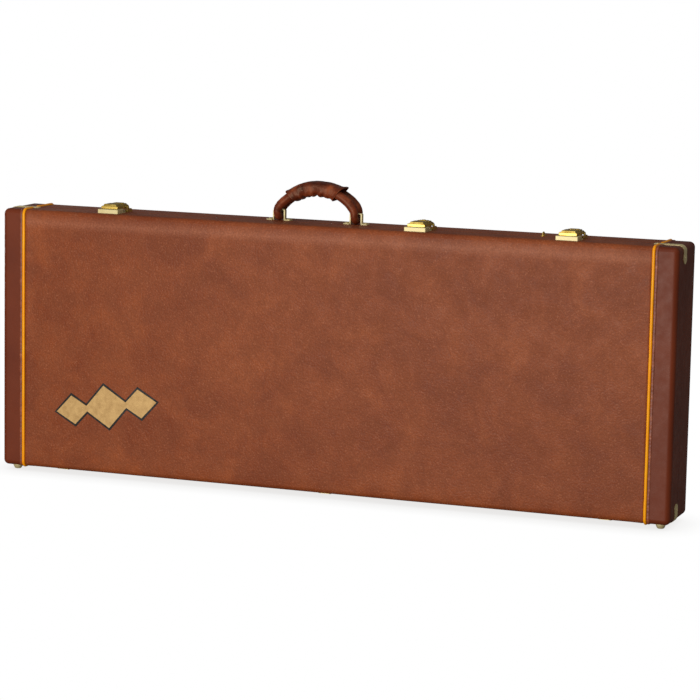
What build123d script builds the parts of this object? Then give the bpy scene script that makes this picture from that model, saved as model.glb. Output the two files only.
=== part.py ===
from build123d import *

"""Guitar case: a rectangular, vinyl-covered plywood hard case that stands on its hinge side.

Frame: X runs along the case, Y from the lid (front, -Y) to the base (back, +Y), Z is up.
The origin is on the floor, under the middle of the case. All sizes are in millimetres.
In names, _R is a radius, _T a thickness, _L a length, _H a height above the case's top face
(except in head and foot sizes) and 0 and 1 are the low and high limits.
"""

import os

os.makedirs("parts", exist_ok=True)

# ---------------------------------------------------------------- driving dimensions
LENGTH = 1207.0  # case body, end to end
DEPTH = 114.0  # case body, lid face to base face
HEIGHT = 453.0  # case body, hinge side to handle side
FOOT_H = 9.0  # feet lift the case this far
EDGE_R = 9.0  # rounding of every outer edge
VINYL = 1.0  # covering thickness
BOARD = 9.0  # side board thickness, without the covering
PANEL = 5.0  # front and back plywood thickness
SEAM_Y = -6.0  # where lid and base meet
SEAM_GAP = 0.3  # each half stops this far from the seam
RIM_T = 1.2  # metal edging on the lid's rim
LINING = 2.0
FIT = 0.03  # radial clearance of fastener holes

ZB = FOOT_H  # bottom, top and middle of the body
ZT = FOOT_H + HEIGHT
ZC = FOOT_H + HEIGHT / 2
HALF_L = LENGTH / 2
HALF_D = DEPTH / 2
LID_Y = SEAM_Y - SEAM_GAP
BASE_Y = SEAM_Y + SEAM_GAP

IN_X = HALF_L - VINYL - BOARD  # inner faces of the boards and panels
IN_Y = HALF_D - VINYL - PANEL
IN_Z0 = ZB + VINYL + BOARD
IN_Z1 = ZT - VINYL - BOARD

BIG = 3000.0
ALL = (-BIG, BIG)
INSIDE_X = (-IN_X, IN_X)
INSIDE_Z = (IN_Z0, IN_Z1)
SIDES = (-1, 1)
DOWN, UP = (0, 0, -1), (0, 0, 1)


# ---------------------------------------------------------------- general tools
def save(name, part):
    part.label = name
    export_step(part, f"parts/{name}.step")


def gather(parts):
    """Several bodies as one piece."""
    with BuildPart() as group:
        for part in parts:
            add(part)
    return group.part


def slab(x=ALL, y=ALL, z=ALL):
    """A plain block given by its (low, high) limits; by default it has no end."""
    with BuildPart() as block:
        with Locations(((x[0] + x[1]) / 2, (y[0] + y[1]) / 2, (z[0] + z[1]) / 2)):
            Box(x[1] - x[0], y[1] - y[0], z[1] - z[0])
    return block.part


def inset(span, amount):
    return (span[0] + amount, span[1] - amount)


def envelope(offset):
    """The case's rounded outer box, grown by offset."""
    with BuildPart() as box:
        with Locations((0, 0, ZC)):
            Box(LENGTH + 2 * offset, DEPTH + 2 * offset, HEIGHT + 2 * offset)
        fillet(box.edges(), EDGE_R + offset)
    return box.part


def along_x(x, y, z):
    """A placement that lays a cylinder along X."""
    return Location((x, y, z), (0, 90, 0))


# Fastener spots are (x, y, z, direction into the case), with the head's underside at x, y, z.
def pegs(spots, radius, length, back):
    """Drilling tools that start this far behind each spot."""
    tools = []
    for x, y, z, into in spots:
        start = (x - back * into[0], y, z - back * into[2])
        with BuildPart(Plane(origin=start, z_dir=into)) as peg:
            Cylinder(radius, length, align=(Align.CENTER, Align.CENTER, Align.MIN))
        tools.append(peg.part)
    return tools


def dome_rivet(head_r, head_h, shank_r, shank_l):
    """The underside of the head is at the origin and the shank points down."""
    with BuildPart() as rivet:
        Cylinder(head_r, head_h, align=(Align.CENTER, Align.CENTER, Align.MIN))
        fillet(rivet.faces().sort_by(Axis.Z)[-1].edges(), head_h * 0.85)
        Cylinder(shank_r, shank_l, align=(Align.CENTER, Align.CENTER, Align.MAX))
    return rivet.part


def seats(spots):
    return [
        Plane(origin=(x, y, z), z_dir=(-into[0], -into[1], -into[2])).location
        for x, y, z, into in spots
    ]


def fasteners(spots, head_r, head_h, shank_r, shank_l):
    """A domed fastener in every spot."""
    with BuildPart() as group:
        with Locations(*seats(spots)):
            add(dome_rivet(head_r, head_h, shank_r, shank_l))
    return group.part


def near(spots, centre_x, z):
    """The spots of one hinge or latch, moved to height z."""
    return [(spot[0], spot[1], z) for spot in spots if abs(spot[0] - centre_x) < 30]


# ---------------------------------------------------------------- fastener positions
RIVET_HEAD_R, RIVET_HEAD_H, RIVET_R, RIVET_L = 2.6, 1.4, 1.5, 8.0

HINGE_X = (-492.0, 0.0, 492.0)
LEAF_T = 1.5
LATCH_X = {"left": -408.0, "middle": 152.0, "right": 413.0}
PLATE_T = 1.5

hinge_rivets_lid = [
    (hx + dx, y, ZB - LEAF_T, UP) for hx in HINGE_X for dx, y in ((8.0, -37.0), (-8.0, -24.0))
]
hinge_rivets_base = [
    (hx + dx, y, ZB - LEAF_T, UP) for hx in HINGE_X for dx, y in ((8.0, 25.0), (-8.0, 12.0))
]
latch_rivets = [
    (lx + dx, y, ZT + PLATE_T, DOWN)
    for lx in LATCH_X.values()
    for dx in (-14.2, 14.2)
    for y in (1.0, 10.5)
]
catch_rivets = [
    (lx + dx, -15.8, ZT + PLATE_T, DOWN) for lx in LATCH_X.values() for dx in (-11.0, 11.0)
]
base_rivets = hinge_rivets_base + latch_rivets
lid_rivets = hinge_rivets_lid + catch_rivets

# handle brackets: a strip bent into a bridge, screwed down at both feet
BRACKET_X = {"left": -111.5, "right": 28.0}
HANDLE_Y = 12.0
STRIP_T = 2.0
BRACKET_REACH = 22.0  # from the bracket's middle to the tip of a foot
BRIDGE_REACH = 11.0  # from the bracket's middle to the outside of a riser
SCREW_OFF = (BRACKET_REACH + BRIDGE_REACH) / 2
SCREW_R = 2.0
bracket_screws = [
    (bx + side * SCREW_OFF, HANDLE_Y, ZT + STRIP_T, DOWN)
    for bx in BRACKET_X.values()
    for side in SIDES
]

FOOT_X, FOOT_Y, FOOT_R = 584.0, 35.0, 8.5
FOOT_NAIL_R, FOOT_NAIL_L = 1.5, 8.0
foot_nails_lid = [(side * FOOT_X, -FOOT_Y, ZB, UP) for side in SIDES]
foot_nails_base = [(side * FOOT_X, FOOT_Y, ZB, UP) for side in SIDES]

# corner clips, on the lid beside the seam
CLIP_Y0, CLIP_Y1 = -24.5, -8.0
CLIP_MID = (CLIP_Y0 + CLIP_Y1) / 2
CLIP_T = 1.1
CLIP_X = 552.0  # inner end of the clip
CLIP_DROP = 30.0  # how far it reaches along the case's end
CLIP_TAB_R = 9.7  # round tab at that end
# tab centres on the upper (1) and lower (-1) corners
CLIP_TAB_Z = {1: ZT - CLIP_DROP + CLIP_TAB_R, -1: ZB + CLIP_DROP - CLIP_TAB_R}
CLIP_NAIL_R = 0.8
clip_nails = []
for side in SIDES:
    for z, into in ((ZT + CLIP_T, DOWN), (ZB - CLIP_T, UP)):
        for dx in (5.5, 24.0):
            clip_nails.append((side * (CLIP_X + dx), CLIP_MID, z, into))
    for z in CLIP_TAB_Z.values():
        clip_nails.append((side * (HALF_L + CLIP_T), CLIP_MID, z, (-side, 0, 0)))

STAPLE_X, STAPLE_Y0, STAPLE_Y1 = 359.0, 1.5, 10.5
STAPLE_T = 1.0
STAPLE_R = 1.25
STAPLE_LEG_L = 7.4
staple_legs = [(STAPLE_X, y, ZT + STAPLE_T, DOWN) for y in (STAPLE_Y0, STAPLE_Y1)]

base_holes = (
    pegs(base_rivets, RIVET_R + FIT, RIVET_L + 2.4, back=2.0)
    + pegs(bracket_screws, SCREW_R + FIT, BOARD + VINYL + 3.0, back=-1.0)
    + pegs(foot_nails_base, FOOT_NAIL_R + FIT, FOOT_NAIL_L + 1.4, back=1.0)
    + pegs(staple_legs, STAPLE_R + FIT, STAPLE_LEG_L, back=0.0)
)
lid_holes = (
    pegs(lid_rivets, RIVET_R + FIT, RIVET_L + 2.4, back=2.0)
    + pegs(foot_nails_lid, FOOT_NAIL_R + FIT, FOOT_NAIL_L + 1.4, back=1.0)
    + pegs(clip_nails, CLIP_NAIL_R + FIT, 9.6, back=1.0)
)

# ---------------------------------------------------------------- plywood boxes
skin = envelope(0)
core = envelope(-VINYL)


def cut_from_core(keep, removed=()):
    with BuildPart() as wood:
        add(core)
        add(keep, mode=Mode.INTERSECT)
        for tool in removed:
            add(tool, mode=Mode.SUBTRACT)
    return wood.part


# half, Y limits of its panel, Y limits of its boards, holes
for half, panel_y, board_y, holes in (
    ("lid", (-BIG, -IN_Y), (-IN_Y, LID_Y - RIM_T), lid_holes),
    ("base", (IN_Y, BIG), (BASE_Y, IN_Y), base_holes),
):
    save(f"{half}_panel", cut_from_core(slab(y=panel_y)))
    # the long boards lie on the handle side and the hinge side, between the end boards
    long_boards = cut_from_core(slab(x=INSIDE_X, y=board_y), [slab(z=INSIDE_Z), holes])
    save(f"{half}_long_boards", long_boards)
    end_boards = cut_from_core(slab(y=board_y), [slab(x=INSIDE_X), holes])
    save(f"{half}_end_boards", end_boards)

# metal edging over the end grain of the lid's boards
lid_valance = cut_from_core(slab(y=(LID_Y - RIM_T, LID_Y)), [slab(x=INSIDE_X, z=INSIDE_Z)])
save("lid_valance", lid_valance)

# ---------------------------------------------------------------- vinyl coverings
PIPE_X = HALF_L - 41.0  # centre of the gold piping
COVER_GAP = 2.5  # coverings stop this far from the piping's centre
COVER_ZONES = {
    "cover": slab(x=(-(PIPE_X - COVER_GAP), PIPE_X - COVER_GAP)),
    "end_cap_left": slab(x=(-BIG, -(PIPE_X + COVER_GAP))),
    "end_cap_right": slab(x=(PIPE_X + COVER_GAP, BIG)),
}


def covering(zone, half_space, holes):
    with BuildPart() as cover:
        add(skin)
        add(core, mode=Mode.SUBTRACT)
        add(zone, mode=Mode.INTERSECT)
        add(half_space, mode=Mode.INTERSECT)
        add(holes, mode=Mode.SUBTRACT)
    return cover.part


for half, half_y, holes in (
    ("lid", (-BIG, LID_Y), lid_holes),
    ("base", (BASE_Y, BIG), base_holes),
):
    for name, zone in COVER_ZONES.items():
        save(f"{half}_{name}", covering(zone, slab(y=half_y), holes))

# ---------------------------------------------------------------- piping
PIPE_W = 4.8
PIPE_UP = 2.5  # stands this far above the covering
PIPE_CROWN_R = 2.2


def on_crown(edge):
    """Whether an edge lies on the hoop's outer surface."""
    middle = edge.position_at(0.5)
    return (
        abs(abs(middle.Y) - (HALF_D + PIPE_UP)) < 0.2
        or abs(middle.Z - (ZT + PIPE_UP)) < 0.2
        or abs(middle.Z - (ZB - PIPE_UP)) < 0.2
        or (edge.geom_type == GeomType.CIRCLE and abs(edge.radius - (EDGE_R + PIPE_UP)) < 0.05)
    )


def pipe_hoop():
    """The right-hand hoop around the case's section, with a rounded crown."""
    with BuildPart() as hoop:
        with BuildSketch(Plane.YZ.offset(PIPE_X - PIPE_W / 2)):
            with Locations((0, ZC)):
                RectangleRounded(DEPTH + 2 * PIPE_UP, HEIGHT + 2 * PIPE_UP, EDGE_R + PIPE_UP)
                RectangleRounded(
                    DEPTH - 2 * VINYL, HEIGHT - 2 * VINYL, EDGE_R - VINYL, mode=Mode.SUBTRACT
                )
        extrude(amount=PIPE_W)
        fillet([e for e in hoop.edges() if on_crown(e)], PIPE_CROWN_R)
    return hoop.part


def piping(hoop, zone):
    with BuildPart() as pipe:
        add(hoop)
        add(zone, mode=Mode.INTERSECT)
    return pipe.part


right_hoop = pipe_hoop()
for place, hoop in (("left", right_hoop.mirror(Plane.YZ)), ("right", right_hoop)):
    # the lid's piping stops short of the corner clips
    save(f"lid_piping_{place}", piping(hoop, slab(y=(-BIG, CLIP_Y0 - 0.4))))
    save(f"base_piping_{place}", piping(hoop, slab(y=(BASE_Y + 1.2, BIG))))

# ---------------------------------------------------------------- tongue rail
# a rail inside the base's boards whose tongue reaches into the lid
RAIL_T, TONGUE, RAIL_BACK = 2.0, 5.0, 10.0
TONGUE_GAP = 0.4  # between the tongue and the lid's boards

with BuildPart() as tongue_rail:
    add(slab(INSIDE_X, (BASE_Y, SEAM_Y + RAIL_BACK), INSIDE_Z))
    add(slab(inset(INSIDE_X, TONGUE_GAP), (SEAM_Y - TONGUE, BASE_Y), inset(INSIDE_Z, TONGUE_GAP)))
    add(slab(x=inset(INSIDE_X, RAIL_T), z=inset(INSIDE_Z, RAIL_T)), mode=Mode.SUBTRACT)
save("base_tongue_rail", tongue_rail.part)

# ---------------------------------------------------------------- corner clips
CLIP_TIP_R = 7.0


def clip_blank(side, level):
    """A thin strip bent over one corner of the lid's rim, with round ends; level 1 is upper."""
    with BuildPart() as wrap:
        with BuildSketch(Plane.XZ.offset(-CLIP_Y1)):
            with Locations((0, ZC)):
                RectangleRounded(LENGTH + 2 * CLIP_T, HEIGHT + 2 * CLIP_T, EDGE_R + CLIP_T)
                RectangleRounded(LENGTH, HEIGHT, EDGE_R, mode=Mode.SUBTRACT)
        extrude(amount=CLIP_Y1 - CLIP_Y0)
    tab_z = CLIP_TAB_Z[level]
    corner_x = sorted((side * CLIP_X, side * (HALF_L + 20)))
    corner_z = sorted((tab_z, ZC + level * (HEIGHT / 2 + 20)))
    with BuildPart() as strip:
        add(wrap.part)
        add(slab(x=corner_x, z=corner_z), mode=Mode.INTERSECT)
        tips = [
            e
            for e in strip.edges().filter_by(GeomType.LINE)
            if e.length < CLIP_T + 0.1 and abs(abs(e.position_at(0.5).X) - CLIP_X) < 0.01
        ]
        fillet(tips, CLIP_TIP_R)
        with Locations(along_x(side * (HALF_L + CLIP_T / 2), CLIP_MID, tab_z)):
            Cylinder(CLIP_TAB_R, CLIP_T)
    return strip.part


with BuildPart() as corner_clips:
    for side in SIDES:
        for level in (1, -1):
            add(clip_blank(side, level))
    add(pegs(clip_nails, CLIP_NAIL_R + FIT, 4.0, back=1.0), mode=Mode.SUBTRACT)
save("corner_clips", corner_clips.part)
save("clip_nails", fasteners(clip_nails, 1.9, 0.9, CLIP_NAIL_R, 8.0))

# ---------------------------------------------------------------- linings and lid pad
LID_LINING_GAP = 7.5  # the lid's lining stops this far from the seam
BACK_PAD = 8.0  # thickness of the base's lining over the back panel
LINED_X = inset(INSIDE_X, LINING)
LINED_Z = inset(INSIDE_Z, LINING)

with BuildPart() as lid_lining:
    add(slab(INSIDE_X, (-IN_Y, SEAM_Y - LID_LINING_GAP), INSIDE_Z))
    add(slab(LINED_X, (-IN_Y + LINING, BIG), LINED_Z), mode=Mode.SUBTRACT)
save("lid_lining", lid_lining.part)

with BuildPart() as base_lining:
    add(slab(INSIDE_X, (SEAM_Y + RAIL_BACK + 0.5, IN_Y), INSIDE_Z))
    add(slab(LINED_X, (-BIG, IN_Y - BACK_PAD), LINED_Z), mode=Mode.SUBTRACT)
    # opening around the handle's backing plate
    add(slab((-145.0, 61.0), (-BIG, 26.0), (IN_Z1 - LINING - 4, BIG)), mode=Mode.SUBTRACT)
save("base_lining", base_lining.part)

LID_PAD_L, LID_PAD_T, LID_PAD_W = 1160, 12.0, 404
with BuildPart() as lid_pad:
    with Locations((0, -IN_Y + LINING + LID_PAD_T / 2, ZC)):
        Box(LID_PAD_L, LID_PAD_T, LID_PAD_W)
    fillet(lid_pad.edges().filter_by(Axis.Y), 18)
    fillet(lid_pad.faces().sort_by(Axis.Y)[-1].edges(), 5)
save("lid_pad", lid_pad.part)

# ---------------------------------------------------------------- bolsters
BOL_Y0, BOL_Y1 = -3.0, IN_Y - BACK_PAD - 0.1
BOL_Y = (BOL_Y0, BOL_Y1)
BOL_EDGE_R = 5
BOL_X = IN_X - LINING - 0.3  # limits just inside the lining
BOL_Z0 = IN_Z0 + LINING + 0.3
BOL_Z1 = IN_Z1 - LINING - 0.3
WAIST_Z1 = BOL_Z1 - 4.2

# outlines seen from the front, as (x, z)
BOLSTERS = {
    "tail_bolsters": (
        [(-BOL_X, BOL_Z1), (-BOL_X, 300), (-560, 300), (-400, 420), (-400, BOL_Z1)],
        [(-BOL_X, BOL_Z0), (-330, BOL_Z0), (-470, 62), (-BOL_X, 100)],
    ),
    "waist_bolsters": (
        [(-300, BOL_Z0), (-8, BOL_Z0), (-8, 192), (-70, 192), (-150, 142)],
        [(-20, WAIST_Z1), (60, WAIST_Z1), (60, 288), (-60, 288), (-60, 330)],
    ),
    "neck_side_bolsters": (
        [(62.5, BOL_Z1), (BOL_X, BOL_Z1), (BOL_X, 328), (430, 328), (400, 290), (62.5, 290)],
        [(246, BOL_Z0), (BOL_X, BOL_Z0), (BOL_X, 142), (430, 142), (400, 184), (246, 184)],
    ),
}


def bolster(outline):
    """A padded block standing on the back pad, with soft front edges."""
    with BuildPart() as block:
        with BuildSketch(Plane(origin=(0, BOL_Y0, 0), x_dir=(1, 0, 0), z_dir=(0, 1, 0))):
            # this plane's local y runs along -Z
            with BuildLine():
                Polyline(*[(x, -z) for x, z in outline], close=True)
            make_face()
        extrude(amount=BOL_Y1 - BOL_Y0)
        fillet(block.faces().sort_by(Axis.Y)[0].edges(), BOL_EDGE_R)
    return block.part


for name, outlines in BOLSTERS.items():
    save(name, gather(bolster(outline) for outline in outlines))

# a block with a trough for the neck
CRADLE_X, CRADLE_Z = 165, 238
with BuildPart() as neck_cradle:
    with Locations((CRADLE_X, (BOL_Y0 + BOL_Y1) / 2, CRADLE_Z)):
        Box(70, BOL_Y1 - BOL_Y0, 100)
    with Locations((CRADLE_X, BOL_Y0 + 4, CRADLE_Z)):
        Box(80, 20, 60, mode=Mode.SUBTRACT)
    fillet(neck_cradle.edges().filter_by(Axis.X).group_by(Axis.Y)[0], 4)
save("neck_cradle", neck_cradle.part)

# ---------------------------------------------------------------- accessory box
# four thin walls, a separate lid in front of them and a pull tab
ACC_X = (-6.0, 244.0)
ACC_Z = (BOL_Z0 + 1.0, 185.0)
ACC_MID_X = (ACC_X[0] + ACC_X[1]) / 2
ACC_T = 4.0  # walls and lid
ACC_LID_Y1 = BOL_Y0 - 0.4  # the lid's back face
ACC_LID_Z0, ACC_LID_Z1 = 28.0, ACC_Z[1] - 1

with BuildPart() as accessory_box:
    add(slab(ACC_X, BOL_Y, ACC_Z))
    add(slab(x=inset(ACC_X, ACC_T), z=inset(ACC_Z, ACC_T)), mode=Mode.SUBTRACT)
save("accessory_box", accessory_box.part)

with BuildPart() as accessory_lid:
    with Locations((ACC_MID_X, ACC_LID_Y1 - ACC_T / 2, (ACC_LID_Z0 + ACC_LID_Z1) / 2)):
        Box(ACC_X[1] - ACC_X[0] - 2, ACC_T, ACC_LID_Z1 - ACC_LID_Z0)
    fillet(accessory_lid.edges().filter_by(Axis.Y), 4)
    fillet(accessory_lid.faces().sort_by(Axis.Y)[0].edges(), 1.5)
save("accessory_lid", accessory_lid.part)

with BuildPart() as pull_tab:
    with Locations((ACC_MID_X, ACC_LID_Y1 - ACC_T - 0.9, ACC_Z[1] - 8)):
        Box(18, 1.6, 26)
    fillet(pull_tab.edges().filter_by(Axis.Y), 5)
save("accessory_pull_tab", pull_tab.part)

# ---------------------------------------------------------------- hinges
HINGE_W = 26.0
HINGE_Z = ZB - 3.5
HINGE_REACH = 38.0  # from the seam to the end of a leaf
KNUCKLE_R = 3.3
HINGE_PIN_R = 1.4
PIN_HEAD_R, PIN_HEAD_T = 2.2, 1.0
# X limits about the hinge's middle: the lid has the middle knuckle, the base the outer two
KNUCKLES = {-1: ((-4.8, 4.8),), 1: ((-13.0, -5.1), (5.1, 13.0))}
NOTCHES = {-1: ((-13.1, -4.8), (4.8, 13.1)), 1: ((-5.1, 5.1),)}


def hinge_leaf(hx, side):
    """Side -1 is the lid's leaf, 1 the base's."""
    leaf_y = sorted((SEAM_Y + side * 0.4, SEAM_Y + side * HINGE_REACH))
    notch_y = sorted((SEAM_Y - side * 1, SEAM_Y + side * 4.2))
    with BuildPart() as leaf:
        with Locations((hx, sum(leaf_y) / 2, ZB - LEAF_T / 2)):
            Box(HINGE_W, leaf_y[1] - leaf_y[0], LEAF_T)
        fillet(leaf.edges().filter_by(Axis.Z).group_by(Axis.Y)[0 if side < 0 else -1], 6.0)
        for a, b in NOTCHES[side]:
            with Locations((hx + (a + b) / 2, sum(notch_y) / 2, ZB - 1)):
                Box(b - a, notch_y[1] - notch_y[0], 6, mode=Mode.SUBTRACT)
        for a, b in KNUCKLES[side]:
            with Locations(along_x(hx + (a + b) / 2, SEAM_Y, HINGE_Z)):
                Cylinder(KNUCKLE_R, b - a)
        with Locations(along_x(hx, SEAM_Y, HINGE_Z)):
            Cylinder(HINGE_PIN_R + 0.05, HINGE_W + 2, mode=Mode.SUBTRACT)
        rivets = hinge_rivets_lid if side < 0 else hinge_rivets_base
        with Locations(*near(rivets, hx, ZB - 1)):
            Cylinder(RIVET_R + FIT, 4, mode=Mode.SUBTRACT)
    return leaf.part


save("lid_hinge_leaves", gather(hinge_leaf(hx, -1) for hx in HINGE_X))
save("base_hinge_leaves", gather(hinge_leaf(hx, 1) for hx in HINGE_X))

PIN_HEAD_OFF = (HINGE_W + PIN_HEAD_T) / 2
with BuildPart() as hinge_pins:
    with Locations(*[along_x(hx, SEAM_Y, HINGE_Z) for hx in HINGE_X]):
        Cylinder(HINGE_PIN_R, HINGE_W)
    with Locations(
        *[along_x(hx + s * PIN_HEAD_OFF, SEAM_Y, HINGE_Z) for hx in HINGE_X for s in SIDES]
    ):
        Cylinder(PIN_HEAD_R, PIN_HEAD_T)
save("hinge_pins", hinge_pins.part)

# ---------------------------------------------------------------- latches
LATCH_W = 38.0
PIVOT_Y, PIVOT_H = -1.0, 8.6  # lever pivot
DRAW_Y, DRAW_H = 6.0, 7.6  # draw-hook pivot on the lever
PIN_R = 1.5
LOCK_Y, LOCK_R = 1.6, 2.9
LEVER_W, LEVER_T = 22.0, 1.2
HOOK_Y, HOOK_H, CAP_T = -23.25, 7.6, 4.4  # centre, underside and thickness of the hook's cap
CROWN_T = 3.2  # raised step on the cap
CATCH_Y, CATCH_L, CATCH_H = -32.5, 24, 7

# outlines in the YZ plane, as (y, height above the case's top)
WALL = [
    (-4.5, 0), (-4.5, 6), (-3.6, 9.8), (-1, 11.3), (1.6, 9.8), (3, 6.5), (12, 5.4), (15, 2.6),
    (15, 0),
]
LEVER_OUTER = [
    (-5.0, 6.6), (-5.0, 12.9), (-3.8, 14.4), (6.5, 14.4), (8.5, 13.4), (12.2, 9.6), (14.6, 9.2),
    (14.9, 8.0), (12.0, 7.9), (10.2, 6.0), (9.0, 4.2), (3.0, 4.2), (-2.6, 6.2),
]
LEVER_INNER = [
    (-6.0, 3.0), (-6.0, 11.7), (-3.4, 13.2), (6.1, 13.2), (7.8, 12.4), (10.6, 9.2), (9.6, 6.0),
    (8.0, 3.0),
]
HOOK_ARM = [
    (-14.0, 8.4), (-14.0, 11.8), (-8.0, 13.0), (1.0, 13.2), (6.6, 11.4), (9.0, 9.4), (9.2, 7.2),
    (7.8, 5.4), (5.4, 4.9), (3.6, 6.2), (3.0, 8.6), (1.6, 10.9), (-4.0, 10.9), (-8.0, 9.4),
    (-10.0, 8.4),
]


def profile_x(outline, x0, x1):
    """A latch outline carried from x0 to x1."""
    with BuildPart() as bar:
        with BuildSketch(Plane.YZ.offset(x0)):
            with BuildLine():
                Polyline(*[(y, ZT + h) for y, h in outline], close=True)
            make_face()
        extrude(amount=x1 - x0)
    return bar.part


def rod_x(y, h, radius, x0, x1):
    with BuildPart() as rod:
        with Locations(along_x((x0 + x1) / 2, y, ZT + h)):
            Cylinder(radius, x1 - x0)
    return rod.part


def latch_base(lx):
    """Flat plate with two side walls that carry the lever's pin."""
    outer = LATCH_W / 2
    with BuildPart() as plate:
        with Locations((lx, 5.25, ZT + PLATE_T / 2)):
            Box(LATCH_W, 19.5, PLATE_T)
        for side in SIDES:
            a, b = sorted((lx + side * outer, lx + side * (outer - PLATE_T)))
            add(profile_x(WALL, a, b))
        add(rod_x(PIVOT_Y, PIVOT_H, PIN_R + 0.02, lx - 30, lx + 30), mode=Mode.SUBTRACT)
        with Locations(*near(latch_rivets, lx, ZT)):
            Cylinder(RIVET_R + FIT, 6, mode=Mode.SUBTRACT)
    return plate.part


def latch_lever(lx, lock):
    """Pressed channel: flat on top over the pivots, sloping down to a finger lip."""
    outer = LEVER_W / 2
    inner = outer - LEVER_T
    with BuildPart() as lever:
        add(profile_x(LEVER_OUTER, lx - outer, lx + outer))
        add(profile_x(LEVER_INNER, lx - inner, lx + inner), mode=Mode.SUBTRACT)
        # raised panel pressed into the top
        with Locations((lx, LOCK_Y, ZT + 14.5)):
            Box(15, 7.4, 1.4)
        fillet(lever.faces().sort_by(Axis.Z)[-1].edges(), 0.5)
        for y, h in ((PIVOT_Y, PIVOT_H), (DRAW_Y, DRAW_H)):
            add(rod_x(y, h, PIN_R + 0.05, lx - 20, lx + 20), mode=Mode.SUBTRACT)
        if lock:
            with Locations((lx, LOCK_Y, ZT + 14)):
                Cylinder(LOCK_R + 0.05, 8, mode=Mode.SUBTRACT)
    return lever.part


def latch_hook(lx):
    """Draw hook: a stepped cap over the catch, a claw under it, and two arms back to the lever."""
    with BuildPart() as hook:
        with Locations((lx, HOOK_Y, ZT + HOOK_H + CAP_T / 2)):
            Box(31, 29.5, CAP_T)
        fillet(hook.edges().filter_by(Axis.Z), 1.0)
        fillet(hook.faces().sort_by(Axis.Z)[-1].edges(), 0.6)
        with BuildSketch(Plane.XY.offset(ZT + HOOK_H + CAP_T)):
            with Locations((lx, HOOK_Y)):
                Rectangle(24.0, 25.0)
        extrude(amount=CROWN_T, taper=12)
        fillet(hook.faces().sort_by(Axis.Z)[-1].edges(), 0.7)
        # hollow underside, 3.2 deep
        with Locations((lx, HOOK_Y, ZT + HOOK_H)):
            Box(28.0, 26.5, 3.2 * 2, mode=Mode.SUBTRACT)
        # an arm on each side, with a stub pin pointing inward
        for side in SIDES:
            a, b = sorted((lx + side * 15.4, lx + side * 14.2))
            add(profile_x(HOOK_ARM, a, b))
            a, b = sorted((lx + side * 15.0, lx + side * 9.4))
            add(rod_x(DRAW_Y, DRAW_H, PIN_R, a, b))
        # claw
        with Locations((lx, -33.2, ZT + 7.2)):
            Box(13, 1.8, 8.8)
    return hook.part


def catch_plate(lx):
    """Pressed box with a slot for the claw, and a flange for its rivets."""
    with BuildPart() as catch:
        with Locations((lx, CATCH_Y, ZT + CATCH_H / 2)):
            Box(LATCH_W, CATCH_L, CATCH_H)
        fillet(catch.edges().filter_by(Axis.Z), 1.2)
        fillet(catch.faces().sort_by(Axis.Z)[-1].edges(), 0.8)
        # hollow, flange, slot
        with Locations((lx, CATCH_Y, ZT + 2.8)):
            Box(LATCH_W - 2.6, CATCH_L - 2.6, 6, mode=Mode.SUBTRACT)
        with Locations((lx, -18.0, ZT + PLATE_T / 2)):
            Box(LATCH_W, 12, PLATE_T)
        with Locations((lx, -34.0, ZT + 6)):
            Box(15, 7, 6, mode=Mode.SUBTRACT)
        with Locations(*near(catch_rivets, lx, ZT)):
            Cylinder(RIVET_R + FIT, 8, mode=Mode.SUBTRACT)
    return catch.part


def lever_pin(lx):
    reach = LATCH_W / 2 + 0.6
    return rod_x(PIVOT_Y, PIVOT_H, PIN_R, lx - reach, lx + reach)


for place, lx in LATCH_X.items():
    save(f"latch_base_{place}", latch_base(lx))
    save(f"latch_lever_{place}", latch_lever(lx, lock=place == "middle"))
    save(f"latch_hook_{place}", latch_hook(lx))
save("latch_catch_plates", gather(catch_plate(lx) for lx in LATCH_X.values()))
save("latch_lever_pins", gather(lever_pin(lx) for lx in LATCH_X.values()))

# key cylinder in the middle lever: body, key slot and cam below
LOCK_X = LATCH_X["middle"]
with BuildPart() as lock_cylinder:
    with Locations((LOCK_X, LOCK_Y, ZT + 13.4)):
        Cylinder(LOCK_R, 5.0)
    with Locations((LOCK_X, LOCK_Y, ZT + 15.4)):
        Box(1.1, 3.8, 2.4, mode=Mode.SUBTRACT)
    with Locations((LOCK_X, LOCK_Y + 0.8, ZT + 11.5)):
        Box(3.0, 5.0, 1.0)
save("lock_cylinder", lock_cylinder.part)

for name, spots in (("base_rivets", base_rivets), ("lid_rivets", lid_rivets)):
    save(name, fasteners(spots, RIVET_HEAD_R, RIVET_HEAD_H, RIVET_R, RIVET_L))

# ---------------------------------------------------------------- feet
SOLE_R = 3.2  # flat part that touches the floor
RIM_Z = ZB - 1.4  # lower edge of the foot's straight rim
NAIL_Z = ZB + FOOT_NAIL_L


def foot(side, y):
    """A turned glide with its nail."""
    x = side * FOOT_X
    nail_r = FOOT_NAIL_R
    with BuildPart() as glide:
        with BuildSketch(Plane(origin=(x, y, 0), x_dir=(1, 0, 0), z_dir=(0, -1, 0))):
            with BuildLine():
                Polyline((0, NAIL_Z), (nail_r, NAIL_Z), (nail_r, ZB), (FOOT_R, ZB), (FOOT_R, RIM_Z))
                Spline((FOOT_R, RIM_Z), (7.3, 3.6), (SOLE_R, 0.0), tangents=[(0.05, -1), (-1, 0)])
                Polyline((SOLE_R, 0), (0, 0), (0, NAIL_Z))
            make_face()
        revolve(axis=Axis((x, y, 0), (0, 0, 1)))
    return glide.part


save("lid_feet", gather(foot(side, -FOOT_Y) for side in SIDES))
save("base_feet", gather(foot(side, FOOT_Y) for side in SIDES))

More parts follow.
